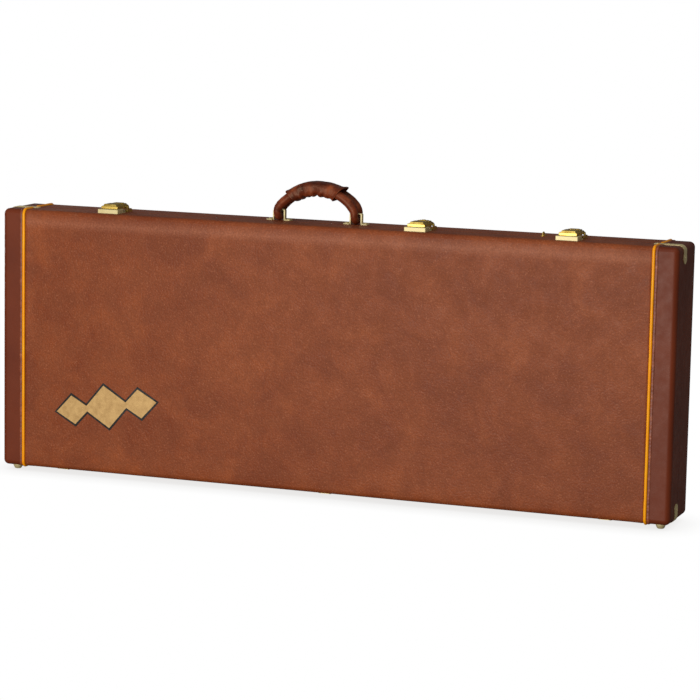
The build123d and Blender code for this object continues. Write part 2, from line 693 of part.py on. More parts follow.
# ---------------------------------------------------------------- handle
BRACKET_H = 19.0
BRACKET_W = 8.0  # width of the strip over the bridge
PIVOT_Z = ZT + 18.0
HANDLE_X = (BRACKET_X["left"] + BRACKET_X["right"]) / 2
HALF_SPAN = (BRACKET_X["right"] - BRACKET_X["left"]) / 2
HANDLE_RISE = 40.0  # from the pivot to the middle of the strands
STRAND_R = 6.6
STRAND_OFF = 11.2  # each strand is this far from the handle's mid plane
CORD_R = 2.5


def edges_off(bridge, axis, bx, reach):
    """Edges along axis that lie this far in X from the bracket's middle."""
    return [
        e
        for e in bridge.edges().filter_by(axis)
        if abs(abs(e.position_at(0.5).X - bx) - reach) < 0.01
    ]


def bracket(bx):
    """A strip bent into a bridge: foot, riser, crossbar, riser, foot."""
    tip, outer = BRACKET_REACH, BRIDGE_REACH
    inner = outer - STRIP_T
    foot_z = ZT + STRIP_T
    top_z = ZT + BRACKET_H
    under_z = top_z - STRIP_T
    middle_z = ZT + 10  # between the bends at the crossbar and those at the feet
    with BuildPart() as bridge:
        with BuildSketch(Plane.XZ.offset(-(HANDLE_Y + BRACKET_W / 2))):
            with BuildLine():
                Polyline(
                    (bx - tip, ZT), (bx - inner, ZT), (bx - inner, under_z),
                    (bx + inner, under_z), (bx + inner, ZT), (bx + tip, ZT),
                    (bx + tip, foot_z), (bx + outer, foot_z), (bx + outer, top_z),
                    (bx - outer, top_z), (bx - outer, foot_z), (bx - tip, foot_z),
                    close=True,
                )
            make_face()
        extrude(amount=BRACKET_W)
        bends = edges_off(bridge, Axis.Y, bx, outer)
        fillet([e for e in bends if e.position_at(0.5).Z > middle_z], 2.4)
        bends = edges_off(bridge, Axis.Y, bx, outer)
        fillet([e for e in bends if e.position_at(0.5).Z < middle_z], 1.6)
        # wider feet
        for side in SIDES:
            with Locations((bx + side * SCREW_OFF, HANDLE_Y, ZT + STRIP_T / 2)):
                Box(tip - outer, 15, STRIP_T)
        fillet(edges_off(bridge, Axis.Z, bx, tip), 3.0)
        for side in SIDES:
            with Locations((bx + side * SCREW_OFF, HANDLE_Y, ZT)):
                Cylinder(SCREW_R + FIT, 8, mode=Mode.SUBTRACT)
    return bridge.part


for place, bx in BRACKET_X.items():
    save(f"handle_bracket_{place}", bracket(bx))

BACKING_T = 3
with BuildPart() as backing_plate:
    with Locations((HANDLE_X, HANDLE_Y, IN_Z1 - BACKING_T / 2)):
        Box(196, 14, BACKING_T)
    fillet(backing_plate.edges().filter_by(Axis.Z), 3)
    with Locations(*[(x, y, IN_Z1) for x, y, z, into in bracket_screws]):
        Cylinder(SCREW_R + FIT, 12, mode=Mode.SUBTRACT)
save("handle_backing_plate", backing_plate.part)
save("handle_screws", fasteners(bracket_screws, 3.2, 1.1, SCREW_R, 15.0))


def arch_plane(y):
    return Plane(origin=(HANDLE_X, y, PIVOT_Z), x_dir=(1, 0, 0), z_dir=(0, -1, 0))


def loop_tube(radius):
    """Two arched strands joined below each crossbar by a half turn."""
    with BuildPart() as loop:
        for side in SIDES:
            y = HANDLE_Y + side * STRAND_OFF
            with BuildLine(arch_plane(y)) as arch:
                EllipticalCenterArc((0, 0), HALF_SPAN, HANDLE_RISE, start_angle=0, arc_size=180)
            with BuildSketch(Plane(origin=(HANDLE_X + HALF_SPAN, y, PIVOT_Z), z_dir=(0, 0, 1))):
                Circle(radius)
            sweep(path=arch.line)
        for bx in BRACKET_X.values():
            with BuildSketch(
                Plane(origin=(bx, HANDLE_Y - STRAND_OFF, PIVOT_Z), z_dir=(0, 0, 1))
            ):
                Circle(radius)
            revolve(axis=Axis((bx, HANDLE_Y, PIVOT_Z), (1, 0, 0)), revolution_arc=180)
    return loop.part


cord = loop_tube(CORD_R)
with BuildPart() as leather_loop:
    add(loop_tube(STRAND_R))
    add(cord, mode=Mode.SUBTRACT)
save("handle_leather_loop", leather_loop.part)
save("handle_cord_core", cord)

# grip around both strands, over the top of the arch
with BuildPart() as handle_sleeve:
    with BuildLine(arch_plane(HANDLE_Y)) as crown:
        EllipticalCenterArc((0, 0), HALF_SPAN, HANDLE_RISE, start_angle=51, arc_size=79)
    with BuildSketch(Plane(crown.line @ 0, x_dir=(0, 1, 0), z_dir=crown.line % 0)):
        RectangleRounded(38.6, 24.0, 9.4)
    sweep(path=crown.line)
    add(loop_tube(STRAND_R + 0.1), mode=Mode.SUBTRACT)
save("handle_sleeve", handle_sleeve.part)

# ---------------------------------------------------------------- small padlock staple
# a plate, two legs into the case and a half ring above them
STAPLE_MID = (STAPLE_Y0 + STAPLE_Y1) / 2
RING_Z = ZT + 1.4
with BuildPart() as lock_staple:
    with Locations((STAPLE_X, STAPLE_MID, ZT + STAPLE_T / 2)):
        Box(8, 17, STAPLE_T)
    fillet(lock_staple.edges().filter_by(Axis.Z), 3.5)
    with Locations((STAPLE_X, STAPLE_Y0, RING_Z), (STAPLE_X, STAPLE_Y1, RING_Z)):
        Cylinder(STAPLE_R, STAPLE_LEG_L, align=(Align.CENTER, Align.CENTER, Align.MAX))
    with BuildSketch(Plane(origin=(STAPLE_X, STAPLE_Y1, RING_Z), z_dir=(0, 0, 1))):
        Circle(STAPLE_R)
    revolve(axis=Axis((STAPLE_X, STAPLE_MID, RING_Z), (1, 0, 0)), revolution_arc=180)
save("lock_staple", lock_staple.part)

# ---------------------------------------------------------------- front ornament
# three slanted diamonds, a dark backing with gold inlays
BADGE_X, BADGE_Z = -402.0, ZB + 118.0
BADGE_DIR = (0.9877, 0, 0.1564)  # nine degrees up to the right
BACKING_DEPTH, INLAY_DEPTH = 0.5, 0.4
DIAMONDS = ((-64, 33, 26), (0, 44, 38), (64, 33, 26))  # centre, half width, half height


def diamonds(grow, back_y, thickness):
    """The motif with its diamonds enlarged, standing forward of back_y."""
    tip = grow * 1.3
    with BuildPart() as motif:
        with BuildSketch(
            Plane(origin=(BADGE_X, back_y, BADGE_Z), x_dir=BADGE_DIR, z_dir=(0, -1, 0))
        ):
            for centre, half_w, half_h in DIAMONDS:
                with BuildLine():
                    Polyline(
                        (centre - half_w - tip, 0), (centre, half_h + tip),
                        (centre + half_w + tip, 0), (centre, -half_h - tip), close=True,
                    )
                make_face()
        extrude(amount=thickness)
    return motif.part


save("badge_backing", diamonds(3.0, -HALF_D, BACKING_DEPTH))
save("badge_inlay", diamonds(-0.6, -HALF_D - BACKING_DEPTH, INLAY_DEPTH))
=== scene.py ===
"""A two-part instrument case standing on its long side, in metres.

X runs along the case and Z up to the handle on top. The lid half is at -Y, facing the
camera, and the base half at +Y. The seam lies between them. Sizes come from the CAD frame.
"""
import bpy
import bmesh
import math
import numpy as np
from mathutils import Vector, Matrix, noise


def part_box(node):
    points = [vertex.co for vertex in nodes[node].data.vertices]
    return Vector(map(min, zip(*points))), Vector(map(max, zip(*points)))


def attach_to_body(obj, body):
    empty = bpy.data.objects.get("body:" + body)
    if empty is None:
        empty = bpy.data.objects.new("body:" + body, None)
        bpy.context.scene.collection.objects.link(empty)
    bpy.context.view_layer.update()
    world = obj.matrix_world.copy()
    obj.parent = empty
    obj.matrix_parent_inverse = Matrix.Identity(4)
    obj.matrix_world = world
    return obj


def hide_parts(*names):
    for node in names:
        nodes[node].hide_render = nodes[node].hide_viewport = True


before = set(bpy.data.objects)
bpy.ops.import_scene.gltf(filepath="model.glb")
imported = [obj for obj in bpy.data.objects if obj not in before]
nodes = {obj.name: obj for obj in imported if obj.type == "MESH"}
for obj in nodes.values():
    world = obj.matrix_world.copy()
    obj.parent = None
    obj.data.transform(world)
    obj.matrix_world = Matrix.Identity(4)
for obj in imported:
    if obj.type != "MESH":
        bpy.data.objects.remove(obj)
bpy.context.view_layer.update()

# ---------------------------------------------------------------- driving sizes
HALVES = (("lid", -1), ("base", 1))          # body, and the sign of Y its face looks along
COVER = {body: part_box(f"{body}_cover") for body, _ in HALVES}
PIPING = {body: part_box(f"{body}_piping_right") for body, _ in HALVES}
BOTTOM_Z, TOP_Z = COVER["lid"][0].z, COVER["lid"][1].z
FACE_Y = {-1: COVER["lid"][0].y, 1: COVER["base"][1].y}
CORNER_R = 0.009                             # rounding of the section
PIPE_X = 0.5 * (PIPING["lid"][0].x + PIPING["lid"][1].x)


def seam_y(box, side):
    """The Y of a box's edge nearest the seam."""
    lo, hi = box
    return hi.y if side < 0 else lo.y


# ---------------------------------------------------------------- node helpers
def srgb(*rgb):
    """8-bit display colour to linear RGBA."""
    def linear(c):
        c /= 255.0
        return c / 12.92 if c <= 0.04045 else ((c + 0.055) / 1.055) ** 2.4
    return (*map(linear, rgb), 1.0)


def put(tree, socket, value):
    """Links a socket, or sets a plain value."""
    if isinstance(value, bpy.types.NodeSocket):
        tree.links.new(value, socket)
    else:
        socket.default_value = value


def math_node(tree, operation, first, second):
    node = tree.nodes.new("ShaderNodeMath")
    node.operation = operation
    put(tree, node.inputs[0], first)
    put(tree, node.inputs[1], second)
    return node.outputs[0]


class Shader:
    """A material with short calls for wiring its nodes, in object coordinates."""

    def __init__(self, name):
        self.material = bpy.data.materials.new(name)
        self.material.use_nodes = True
        self.tree = self.material.node_tree
        self.bsdf = self.tree.nodes["Principled BSDF"]
        self.coords = self.node("ShaderNodeTexCoord").outputs["Object"]

    def node(self, kind, **props):
        node = self.tree.nodes.new(kind)
        for key, value in props.items():
            setattr(node, key, value)
        return node

    def fill(self, node, **inputs):
        for key, value in inputs.items():
            put(self.tree, node.inputs[key.replace("_", " ")], value)

    def noise(self, scale, detail=3.0, rough=0.5, vec=None, dist=0.0):
        node = self.node("ShaderNodeTexNoise")
        self.fill(node, Vector=vec or self.coords, Scale=scale, Detail=detail,
                  Roughness=rough, Distortion=dist)
        return node.outputs["Fac"]

    def voronoi(self, scale, feature="F1", vec=None):
        node = self.node("ShaderNodeTexVoronoi", feature=feature)
        self.fill(node, Vector=vec or self.coords, Scale=scale)
        return node.outputs["Distance"]

    def ramp(self, fac, *stops):
        """Colour ramp; each stop is (position, colour)."""
        node = self.node("ShaderNodeValToRGB")
        elements = node.color_ramp.elements
        while len(elements) < len(stops):
            elements.new(0.5)
        for element, (position, color) in zip(elements, stops):
            element.position = position
            element.color = color
        self.fill(node, Fac=fac)
        return node.outputs["Color"]

    def mix(self, fac, under, over):
        node = self.node("ShaderNodeMix", data_type="RGBA", blend_type="MIX")
        for index, value in ((0, fac), (6, under), (7, over)):
            put(self.tree, node.inputs[index], value)
        return node.outputs[2]

    def math(self, operation, first, second=0.0):
        return math_node(self.tree, operation, first, second)

    def remap(self, value, span=(0.3, 0.7), to=(0.0, 1.0)):
        node = self.node("ShaderNodeMapRange")
        for index, item in enumerate((value, *span, *to)):
            put(self.tree, node.inputs[index], item)
        return node.outputs[0]

    def bump(self, height, distance, strength=1.0, normal=None):
        node = self.node("ShaderNodeBump")
        self.fill(node, Strength=strength, Distance=distance, Height=height)
        if normal:
            self.fill(node, Normal=normal)
        return node.outputs["Normal"]

    def mapped(self, scale=(1, 1, 1), rotation=(0, 0, 0)):
        node = self.node("ShaderNodeMapping")
        self.fill(node, Vector=self.coords, Scale=scale, Rotation=rotation)
        return node.outputs[0]

    def principled(self, **inputs):
        self.fill(self.bsdf, **inputs)
        return self.material


# ---------------------------------------------------------------- materials
# Noise and cell scales are per metre; bump distances are metres.
def pebble_vinyl():
    """Mottled brown vinyl with pebbled grain, painted shade between the pebbles, pale flecks
    painted as glints, and a paler stripe at one height painted as sheen.
    """
    # height and half width of a paler stripe painted into the colour as sheen, light caught
    # below the top edge
    sheen_z, sheen_half = 0.441, 0.012
    pebbles_per_m = 340.0
    mat = Shader("pebble_vinyl")
    cloud = mat.noise(scale=12.0, detail=5.0, rough=0.62, dist=0.6)
    blotch = mat.noise(scale=42.0, rough=0.6)
    color = mat.ramp(cloud, (0.36, srgb(125, 56, 25)), (0.5, srgb(139, 66, 31)),
                     (0.66, srgb(151, 75, 36)))
    blotchy = mat.remap(blotch, span=(0.38, 0.66), to=(0.0, 0.5))
    color = mat.mix(blotchy, color, srgb(129, 67, 39))
    split = mat.node("ShaderNodeSeparateXYZ")
    put(mat.tree, split.inputs[0], mat.coords)
    # painted sheen: a paler colour mixed in close to that height
    away = mat.math("ABSOLUTE", mat.math("SUBTRACT", split.outputs[2], sheen_z))
    painted_sheen = mat.remap(away, span=(0.0, sheen_half), to=(0.3, 0.0))
    color = mat.mix(painted_sheen, color, srgb(190, 122, 92))
    cells = mat.voronoi(scale=pebbles_per_m)
    fine = mat.noise(scale=760.0, detail=2.0, rough=0.6)
    # painted shade: the colour is darkened in the low ground between the pebbles
    valley_shade = mat.remap(cells, span=(0.25, 0.75))
    color = mat.mix(mat.math("MULTIPLY", valley_shade, 0.3), color, srgb(92, 40, 18))
    # pale flecks painted into the colour as glints of light on the grain
    painted_glints = mat.remap(mat.noise(scale=430.0, detail=2.0, rough=0.55), span=(0.6, 0.7),
                      to=(0.0, 0.36))
    color = mat.mix(painted_glints, color, srgb(186, 116, 82))
    dome = mat.math("SUBTRACT", 1.0, mat.voronoi(scale=pebbles_per_m, feature="SMOOTH_F1"))
    height = mat.math("ADD", dome, mat.math("MULTIPLY", fine, 0.3))
    grain = mat.bump(height, distance=0.00034)
    swell = mat.bump(mat.noise(scale=60.0, detail=2.0), distance=0.0009, strength=0.35,
                     normal=grain)
    return mat.principled(Base_Color=color, Roughness=mat.remap(blotch, to=(0.44, 0.56)),
                          Normal=swell, Specular_IOR_Level=0.24,
                          Specular_Tint=(1.0, 0.86, 0.74, 1))


def smooth_vinyl():
    mat = Shader("smooth_vinyl")
    cloud = mat.noise(scale=11.0, detail=4.0, rough=0.55)
    color = mat.ramp(cloud, (0.35, srgb(102, 40, 18)), (0.65, srgb(113, 47, 22)))
    grain = mat.voronoi(scale=1300.0)
    color = mat.mix(mat.remap(grain, span=(0.4, 0.9), to=(0.0, 0.16)), color, srgb(70, 34, 24))
    fine = mat.bump(grain, distance=0.0001, strength=0.5)
    swell = mat.bump(mat.noise(scale=40.0), distance=0.0008, strength=0.3, normal=fine)
    return mat.principled(Base_Color=color,
                          Roughness=mat.remap(mat.noise(scale=70.0), to=(0.4, 0.52)),
                          Normal=swell, Specular_IOR_Level=0.26,
                          Specular_Tint=(1.0, 0.84, 0.74, 1))


def flange_vinyl():
    mat = Shader("flange_vinyl")
    color = mat.ramp(mat.noise(scale=90.0, detail=4.0, rough=0.6), (0.35, srgb(112, 50, 28)),
                     (0.58, srgb(142, 72, 42)), (0.74, srgb(176, 104, 66)))
    grain = mat.bump(mat.voronoi(scale=900.0), distance=0.0002, strength=0.6)
    return mat.principled(Base_Color=color, Roughness=0.47, Normal=grain)


def gold_piping():
    mat = Shader("gold_piping")
    color = mat.ramp(mat.noise(scale=30.0), (0.3, srgb(252, 154, 0)), (0.7, srgb(255, 172, 3)))
    grime = mat.remap(mat.noise(scale=300.0, detail=4.0, rough=0.7), span=(0.6, 0.8),
                      to=(0.0, 0.3))
    color = mat.mix(grime, color, srgb(196, 116, 12))
    return mat.principled(
        Base_Color=color,
        Roughness=mat.remap(mat.noise(scale=160.0, detail=2.0), to=(0.3, 0.42)),
        Normal=mat.bump(mat.noise(scale=420.0), distance=0.00018, strength=0.5),
        Coat_Weight=0.04, Coat_Roughness=0.25, Specular_IOR_Level=0.2)


def brass(name, dull, bright, rough, metal):
    mat = Shader(name)
    tarnish = mat.noise(scale=70.0, detail=2.0)
    return mat.principled(Base_Color=mat.ramp(tarnish, (0.35, dull), (0.7, bright)),
                          Metallic=metal,
                          Roughness=mat.remap(tarnish, to=(rough + 0.1, rough + 0.2)))


def leather(name, mid, light):
    """Creased leather with painted shade in the creases, lighter where edges stand proud."""
    dark = srgb(58, 19, 9)
    mat = Shader(name)
    cloud = mat.noise(scale=44.0, rough=0.55, dist=0.3)
    color = mat.ramp(cloud, (0.3, dark), (0.52, mid), (0.72, light))
    creases = mat.voronoi(scale=520.0, feature="DISTANCE_TO_EDGE",
                          vec=mat.mapped(scale=(1.0, 1.5, 1.2)))
    # painted shade: the creases are darkened
    line = mat.remap(creases, span=(0.0, 0.12), to=(1.0, 0.0))
    color = mat.mix(mat.math("MULTIPLY", line, 0.16), color, dark)
    geometry = mat.node("ShaderNodeNewGeometry")
    worn = mat.remap(geometry.outputs["Pointiness"], span=(0.5, 0.6), to=(0.0, 0.4))
    color = mat.mix(worn, color, light)
    fine = mat.bump(mat.remap(creases, span=(0.0, 0.2)), distance=0.00006, strength=0.5)
    swell = mat.bump(mat.noise(scale=60.0, detail=2.0), distance=0.0005, strength=0.25,
                     normal=fine)
    return mat.principled(Base_Color=color, Roughness=mat.remap(cloud, to=(0.4, 0.5)),
                          Normal=swell, Specular_IOR_Level=0.4,
                          Specular_Tint=(1.0, 0.64, 0.42, 1))


def gold_plush():
    dark, light = srgb(140, 84, 30), srgb(190, 124, 52)
    root_shade = tuple(x * 0.45 for x in dark[:3]) + (1,)
    mat = Shader("gold_plush")
    tuft = mat.noise(scale=1500.0, rough=0.7)
    nap = mat.noise(scale=64.0, detail=5.0, rough=0.62, dist=0.25)
    broad = mat.noise(scale=9.0, detail=2.0)
    shade = mat.math("ADD", mat.math("MULTIPLY", nap, 0.55), mat.math("MULTIPLY", broad, 0.45))
    color = mat.ramp(shade, (0.25, dark), (0.75, light))
    # painted shade: the pile is darkened where it is low between the tufts
    color = mat.mix(mat.remap(tuft, span=(0.4, 0.7), to=(0.35, 0.0)), color, root_shade)
    pile = mat.bump(tuft, distance=0.0008, strength=0.8)
    swell = mat.bump(nap, distance=0.0012, strength=0.35, normal=pile)
    return mat.principled(Base_Color=color, Roughness=0.95, Normal=swell, Sheen_Weight=0.7,
                          Sheen_Roughness=0.4, Sheen_Tint=light, Specular_IOR_Level=0.15)


def plywood():
    mat = Shader("plywood_grain")
    grain = mat.noise(scale=30.0, detail=5.0, rough=0.6, dist=1.5,
                      vec=mat.mapped(scale=(0.5, 3.0, 8.0)))
    fine = mat.noise(scale=400.0, rough=0.6, vec=mat.mapped(scale=(0.1, 1.0, 1.0)))
    color = mat.ramp(grain, (0.3, srgb(150, 112, 72)), (0.5, srgb(190, 152, 104)),
                     (0.7, srgb(208, 174, 126)))
    color = mat.mix(mat.remap(fine, span=(0.5, 0.75), to=(0.0, 0.5)), color, srgb(122, 86, 52))
    return mat.principled(Base_Color=color, Roughness=0.7,
                          Normal=mat.bump(fine, distance=0.0002, strength=0.6))


def rope():
    mat = Shader("rope_twist")
    wave = mat.node("ShaderNodeTexWave", wave_type="BANDS")
    mat.fill(wave, Vector=mat.mapped(rotation=(0.5, 0.6, 0.4)), Scale=160.0, Distortion=1.5)
    bands = wave.outputs["Fac"]
    color = mat.ramp(bands, (0.2, srgb(120, 100, 72)), (0.8, srgb(205, 188, 150)))
    return mat.principled(Base_Color=color, Roughness=0.9,
                          Normal=mat.bump(bands, distance=0.0006, strength=0.8))


def steel(name, dark, light, rough):
    """Metal brushed along X."""
    mat = Shader(name)
    brush = mat.noise(scale=700.0, rough=0.6, vec=mat.mapped(scale=(0.03, 1.0, 1.0)))
    return mat.principled(Base_Color=mat.ramp(brush, (0.3, dark), (0.7, light)), Metallic=1.0,
                          Roughness=mat.remap(brush, to=(rough, rough + 0.15)),
                          Normal=mat.bump(brush, distance=0.00005, strength=0.5))


def lacquer(name, dark, light, metal, rough):
    mat = Shader(name)
    cloud = mat.noise(scale=110.0, detail=4.0, rough=0.6)
    return mat.principled(
        Base_Color=mat.ramp(cloud, (0.3, dark), (0.7, light)), Metallic=metal,
        Roughness=mat.remap(cloud, to=(rough, rough + 0.1)),
        Normal=mat.bump(mat.noise(scale=900.0, detail=2.0), distance=0.00012, strength=0.5))


def waxed_thread():
    mat = Shader("waxed_thread")
    fibre = mat.noise(scale=2500.0, detail=2.0, rough=0.6)
    return mat.principled(
        Base_Color=mat.ramp(fibre, (0.3, srgb(58, 24, 16)), (0.7, srgb(92, 44, 30))),
        Roughness=0.7, Normal=mat.bump(fibre, distance=0.0002, strength=0.7))


PEBBLE = pebble_vinyl()
SMOOTH = smooth_vinyl()
WELT = flange_vinyl()
GOLD_PIPING = gold_piping()
BRASS = brass("polished_brass", srgb(190, 156, 70), srgb(216, 186, 98), rough=0.2, metal=0.82)
PALE_BRASS = brass("pale_brass", srgb(206, 188, 132), srgb(224, 208, 156), rough=0.34,
                   metal=0.35)
CLIP_BRASS = brass("clip_brass", srgb(206, 186, 132), srgb(226, 206, 150), rough=0.34,
                   metal=0.2)
HANDLE_LEATHER = leather("handle_leather", mid=srgb(106, 42, 20), light=srgb(148, 72, 40))
SLEEVE_LEATHER = leather("sleeve_leather", mid=srgb(104, 41, 18), light=srgb(150, 74, 40))
PLUSH = gold_plush()
PLYWOOD = plywood()
ROPE = rope()
EDGING = steel("satin_edging", srgb(168, 160, 140), srgb(204, 198, 180), rough=0.3)
ZINC = steel("zinc_steel", srgb(150, 152, 155), srgb(190, 192, 195), rough=0.35)
BLACK = lacquer("black_trim", srgb(12, 11, 10), srgb(24, 21, 19), metal=0.0, rough=0.25)
GOLD = lacquer("gold_trim", srgb(182, 142, 84), srgb(206, 166, 104), metal=0.35, rough=0.38)
THREAD = waxed_thread()

CAD_LOOK = {name: material for names, material in (
    ("lid_panel base_panel", PLYWOOD),
    ("lid_valance base_tongue_rail", EDGING),
    ("corner_clips clip_nails", CLIP_BRASS),
    ("base_feet lid_feet latch_catch_plates handle_screws", PALE_BRASS),
    ("handle_bracket_left handle_bracket_right", PALE_BRASS),
    ("handle_backing_plate", ZINC),
    ("handle_cord_core", ROPE),
    ("badge_backing", BLACK),
    ("badge_inlay", GOLD),
    ("lid_cover base_cover", PEBBLE),
) for name in names.split()}


def cad_look(name):
    if name.endswith("boards"):
        return PLYWOOD
    if "end_cap" in name:
        return SMOOTH
    return CAD_LOOK.get(name, BRASS)


for name in nodes:
    piece = nodes[name]
    if not piece.material_slots:
        piece.data.materials.append(cad_look(name))
    for slot in piece.material_slots:
        slot.material = cad_look(name)


# ---------------------------------------------------------------- mesh helpers
def wobble(x, y, z):
    """Smooth noise, roughly -1 to 1."""
    return noise.noise(Vector((x, y, z)))


def new_object(name, mesh, material):
    obj = bpy.data.objects.new(name, mesh)
    bpy.context.collection.objects.link(obj)
    mesh.materials.clear()
    mesh.materials.append(material)
    return obj


def shade_smooth(mesh):
    mesh.polygons.foreach_set("use_smooth", [True] * len(mesh.polygons))


def make(name, verts, faces, material):
    mesh = bpy.data.meshes.new(name)
    mesh.from_pydata([tuple(v) for v in verts], [], faces)
    mesh.validate()
    mesh.update()
    bm = bmesh.new()
    bm.from_mesh(mesh)
    bmesh.ops.recalc_face_normals(bm, faces=bm.faces)
    bm.to_mesh(mesh)
    bm.free()
    obj = new_object(name, mesh, material)
    shade_smooth(mesh)
    return obj


def attach(obj, body, node=None):
    """Makes a piece ride on a body, in place of a CAD node if one is named."""
    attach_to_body(obj, body)
    if node:
        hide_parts(node)


def ring_quads(rings, sides, closed=False):
    """Quads joining successive rings of vertices."""
    faces = []
    for i in range(rings if closed else rings - 1):
        here, there = i * sides, (i + 1) % rings * sides
        for j in range(sides):
            k = (j + 1) % sides
            faces.append((here + j, here + k, there + k, there + j))
    return faces


def section_path(side, cut_y, step):
    """Section of one half, from the seam over the top, down the face and back underneath.

    Each point is (y, z, outward y, outward z, distance along the path).
    """
    arc_steps = 8
    r = CORNER_R
    face_y = FACE_Y[side]
    bend_y = face_y - side * r
    flat_steps = max(2, int(abs(bend_y - cut_y) / step))
    wall = TOP_Z - BOTTOM_Z - 2 * r
    wall_steps = int(wall / step)
    arc = [math.pi / 2 * i / arc_steps for i in range(arc_steps + 1)]
    points = []
    for i in range(flat_steps):
        points.append((cut_y + (bend_y - cut_y) * i / flat_steps, TOP_Z, 0.0, 1.0))
    for a in arc:
        c, s = math.cos(a), math.sin(a)
        points.append((bend_y + side * r * s, TOP_Z - r + r * c, side * s, c))
    for i in range(1, wall_steps):
        points.append((face_y, TOP_Z - r - wall * i / wall_steps, side, 0.0))
    for a in arc:
        c, s = math.cos(a), math.sin(a)
        points.append((bend_y + side * r * c, BOTTOM_Z + r - r * s, side * c, -s))
    for i in range(1, flat_steps + 1):
        points.append((bend_y + (cut_y - bend_y) * i / flat_steps, BOTTOM_Z, 0.0, -1.0))
    path, along, last = [], 0.0, points[0]
    for point in points:
        along += math.hypot(point[0] - last[0], point[1] - last[1])
        path.append((*point, along))
        last = point
    return path


def hoop(name, path, profile, material):
    """A strip along the section; profile(along) is its outline as (x, height) pairs."""
    verts = []
    for y, z, out_y, out_z, along in path:
        outline = profile(along)
        verts += [(x, y + out_y * h, z + out_z * h) for x, h in outline]
    sides = len(outline)
    faces = ring_quads(len(path), sides)
    faces.append(tuple(range(sides - 1, -1, -1)))
    faces.append(tuple((len(path) - 1) * sides + j for j in range(sides)))
    return make(name, verts, faces, material)


# ---------------------------------------------------------------- main coverings
COVER_STEP = 0.006
COVER_COLUMNS = 190
COVER_THICK = 0.001
EDGE_STEPS = (0, 0.0008, 0.0018, 0.0030, 0.0044)   # finer columns beside each piping
EDGE_BAND = 0.0055                                 # even columns start beyond this
CROWN = 0.0008                                     # how far the covering sinks at its bends


def covering(body, side):
    """A thin closed shell, slightly wavy, with puckers beside the piping."""
    lo, hi = COVER[body]
    path = section_path(side, seam_y(COVER[body], side), COVER_STEP)
    even = [lo.x + (hi.x - lo.x) * i / COVER_COLUMNS for i in range(COVER_COLUMNS + 1)]
    xs = sorted({lo.x + d for d in EDGE_STEPS} | {hi.x - d for d in EDGE_STEPS}
                | {x for x in even if lo.x + EDGE_BAND < x < hi.x - EDGE_BAND})
    length = path[-1][4]
    rows, cols = len(path), len(xs)
    verts, faces = [], []
    for y, z, out_y, out_z, along in path:
        on_face = abs(out_y) > 0.99
        flat = 1.0 if on_face else 0.25
        top = 0.0003 if on_face else 0.00012
        fade = min(1.0, along / 0.03, (length - along) / 0.03)   # calm near the seam
        if on_face:
            from_bend = max(0.0, min(z - BOTTOM_Z - CORNER_R, TOP_Z - CORNER_R - z))
            crown = -CROWN * math.exp(-from_bend / 0.008)
        else:
            crown = -CROWN * abs(out_y)
        for x in xs:
            d = min(x - lo.x, hi.x - x)
            # broad and small waves, a tuck with a roll beside it, then fine puckers
            wave = (wobble(x * 7, along * 7 + 3 * side, 1.7) * 0.0004
                    + wobble(x * 26, along * 26, 5.1) * 0.00018) * flat
            tuck = (-0.0007 * math.exp(-(d / 0.0016) ** 2)
                    + 0.0006 * math.exp(-((d - 0.006) / 0.004) ** 2))
            pucker = (0.00035 * math.exp(-(d / 0.009) ** 2)
                      * wobble(along * 150, x * 9, 3.3 * side))
            h = (wave + tuck + pucker) * fade + crown * min(1.0, d / 0.02)
            h = max(-0.0009, min(h, top))
            verts.append((x, y + out_y * h, z + out_z * h))
    inner = len(verts)
    for y, z, out_y, out_z, _ in path:
        verts += [(x, y - out_y * COVER_THICK, z - out_z * COVER_THICK) for x in xs]
    for i in range(rows - 1):
        for j in range(cols - 1):
            a = i * cols + j
            b = inner + a
            faces.append((a, a + 1, a + 1 + cols, a + cols))
            faces.append((b, b + cols, b + 1 + cols, b + 1))
    for i in range(rows - 1):
        for j in (0, cols - 1):
            a = i * cols + j
            faces.append((a, a + cols, inner + a + cols, inner + a))
    for j in range(cols - 1):
        for i in (0, rows - 1):
            a = i * cols + j
            faces.append((a, a + 1, inner + a + 1, inner + a))
    obj = make(f"{body}_covering", verts, faces, PEBBLE)
    attach(obj, body, f"{body}_cover")


for body, side in HALVES:
    covering(body, side)

# ---------------------------------------------------------------- piping and cap welts
TRIM_STEP = 0.0015
PIPE_HALF, PIPE_RISE = 0.00245, 0.0025
PIPE_FOOT, PIPE_ROOT = 0.0002, -0.0009     # where the round starts, and the buried underside
WELT_GAP = 0.0027                          # welt's near edge from the piping's centre
WELT_WIDTH, WELT_RISE = 0.0047, 0.0010
WELT_ROOT = -0.0008
STITCH_PITCH = 0.0062


def piping_profile(side_x):
    def outline(along):
        half = PIPE_HALF + 0.00012 * wobble(along * 45, side_x, 2.2)
        rise = PIPE_RISE + 0.00022 * wobble(along * 38, side_x * 3, 7.7)
        mid = side_x * PIPE_X + 0.0002 * wobble(along * 22, side_x * 5, 0.3)
        points = [(mid - half, PIPE_ROOT), (mid - half, PIPE_FOOT)]
        for i in range(1, 12):
            a = math.pi * i / 12
            points.append((mid - half * math.cos(a),
                           PIPE_FOOT + (rise - PIPE_FOOT) * math.sin(a) ** 0.85))
        return points + [(mid + half, PIPE_FOOT), (mid + half, PIPE_ROOT)]
    return outline


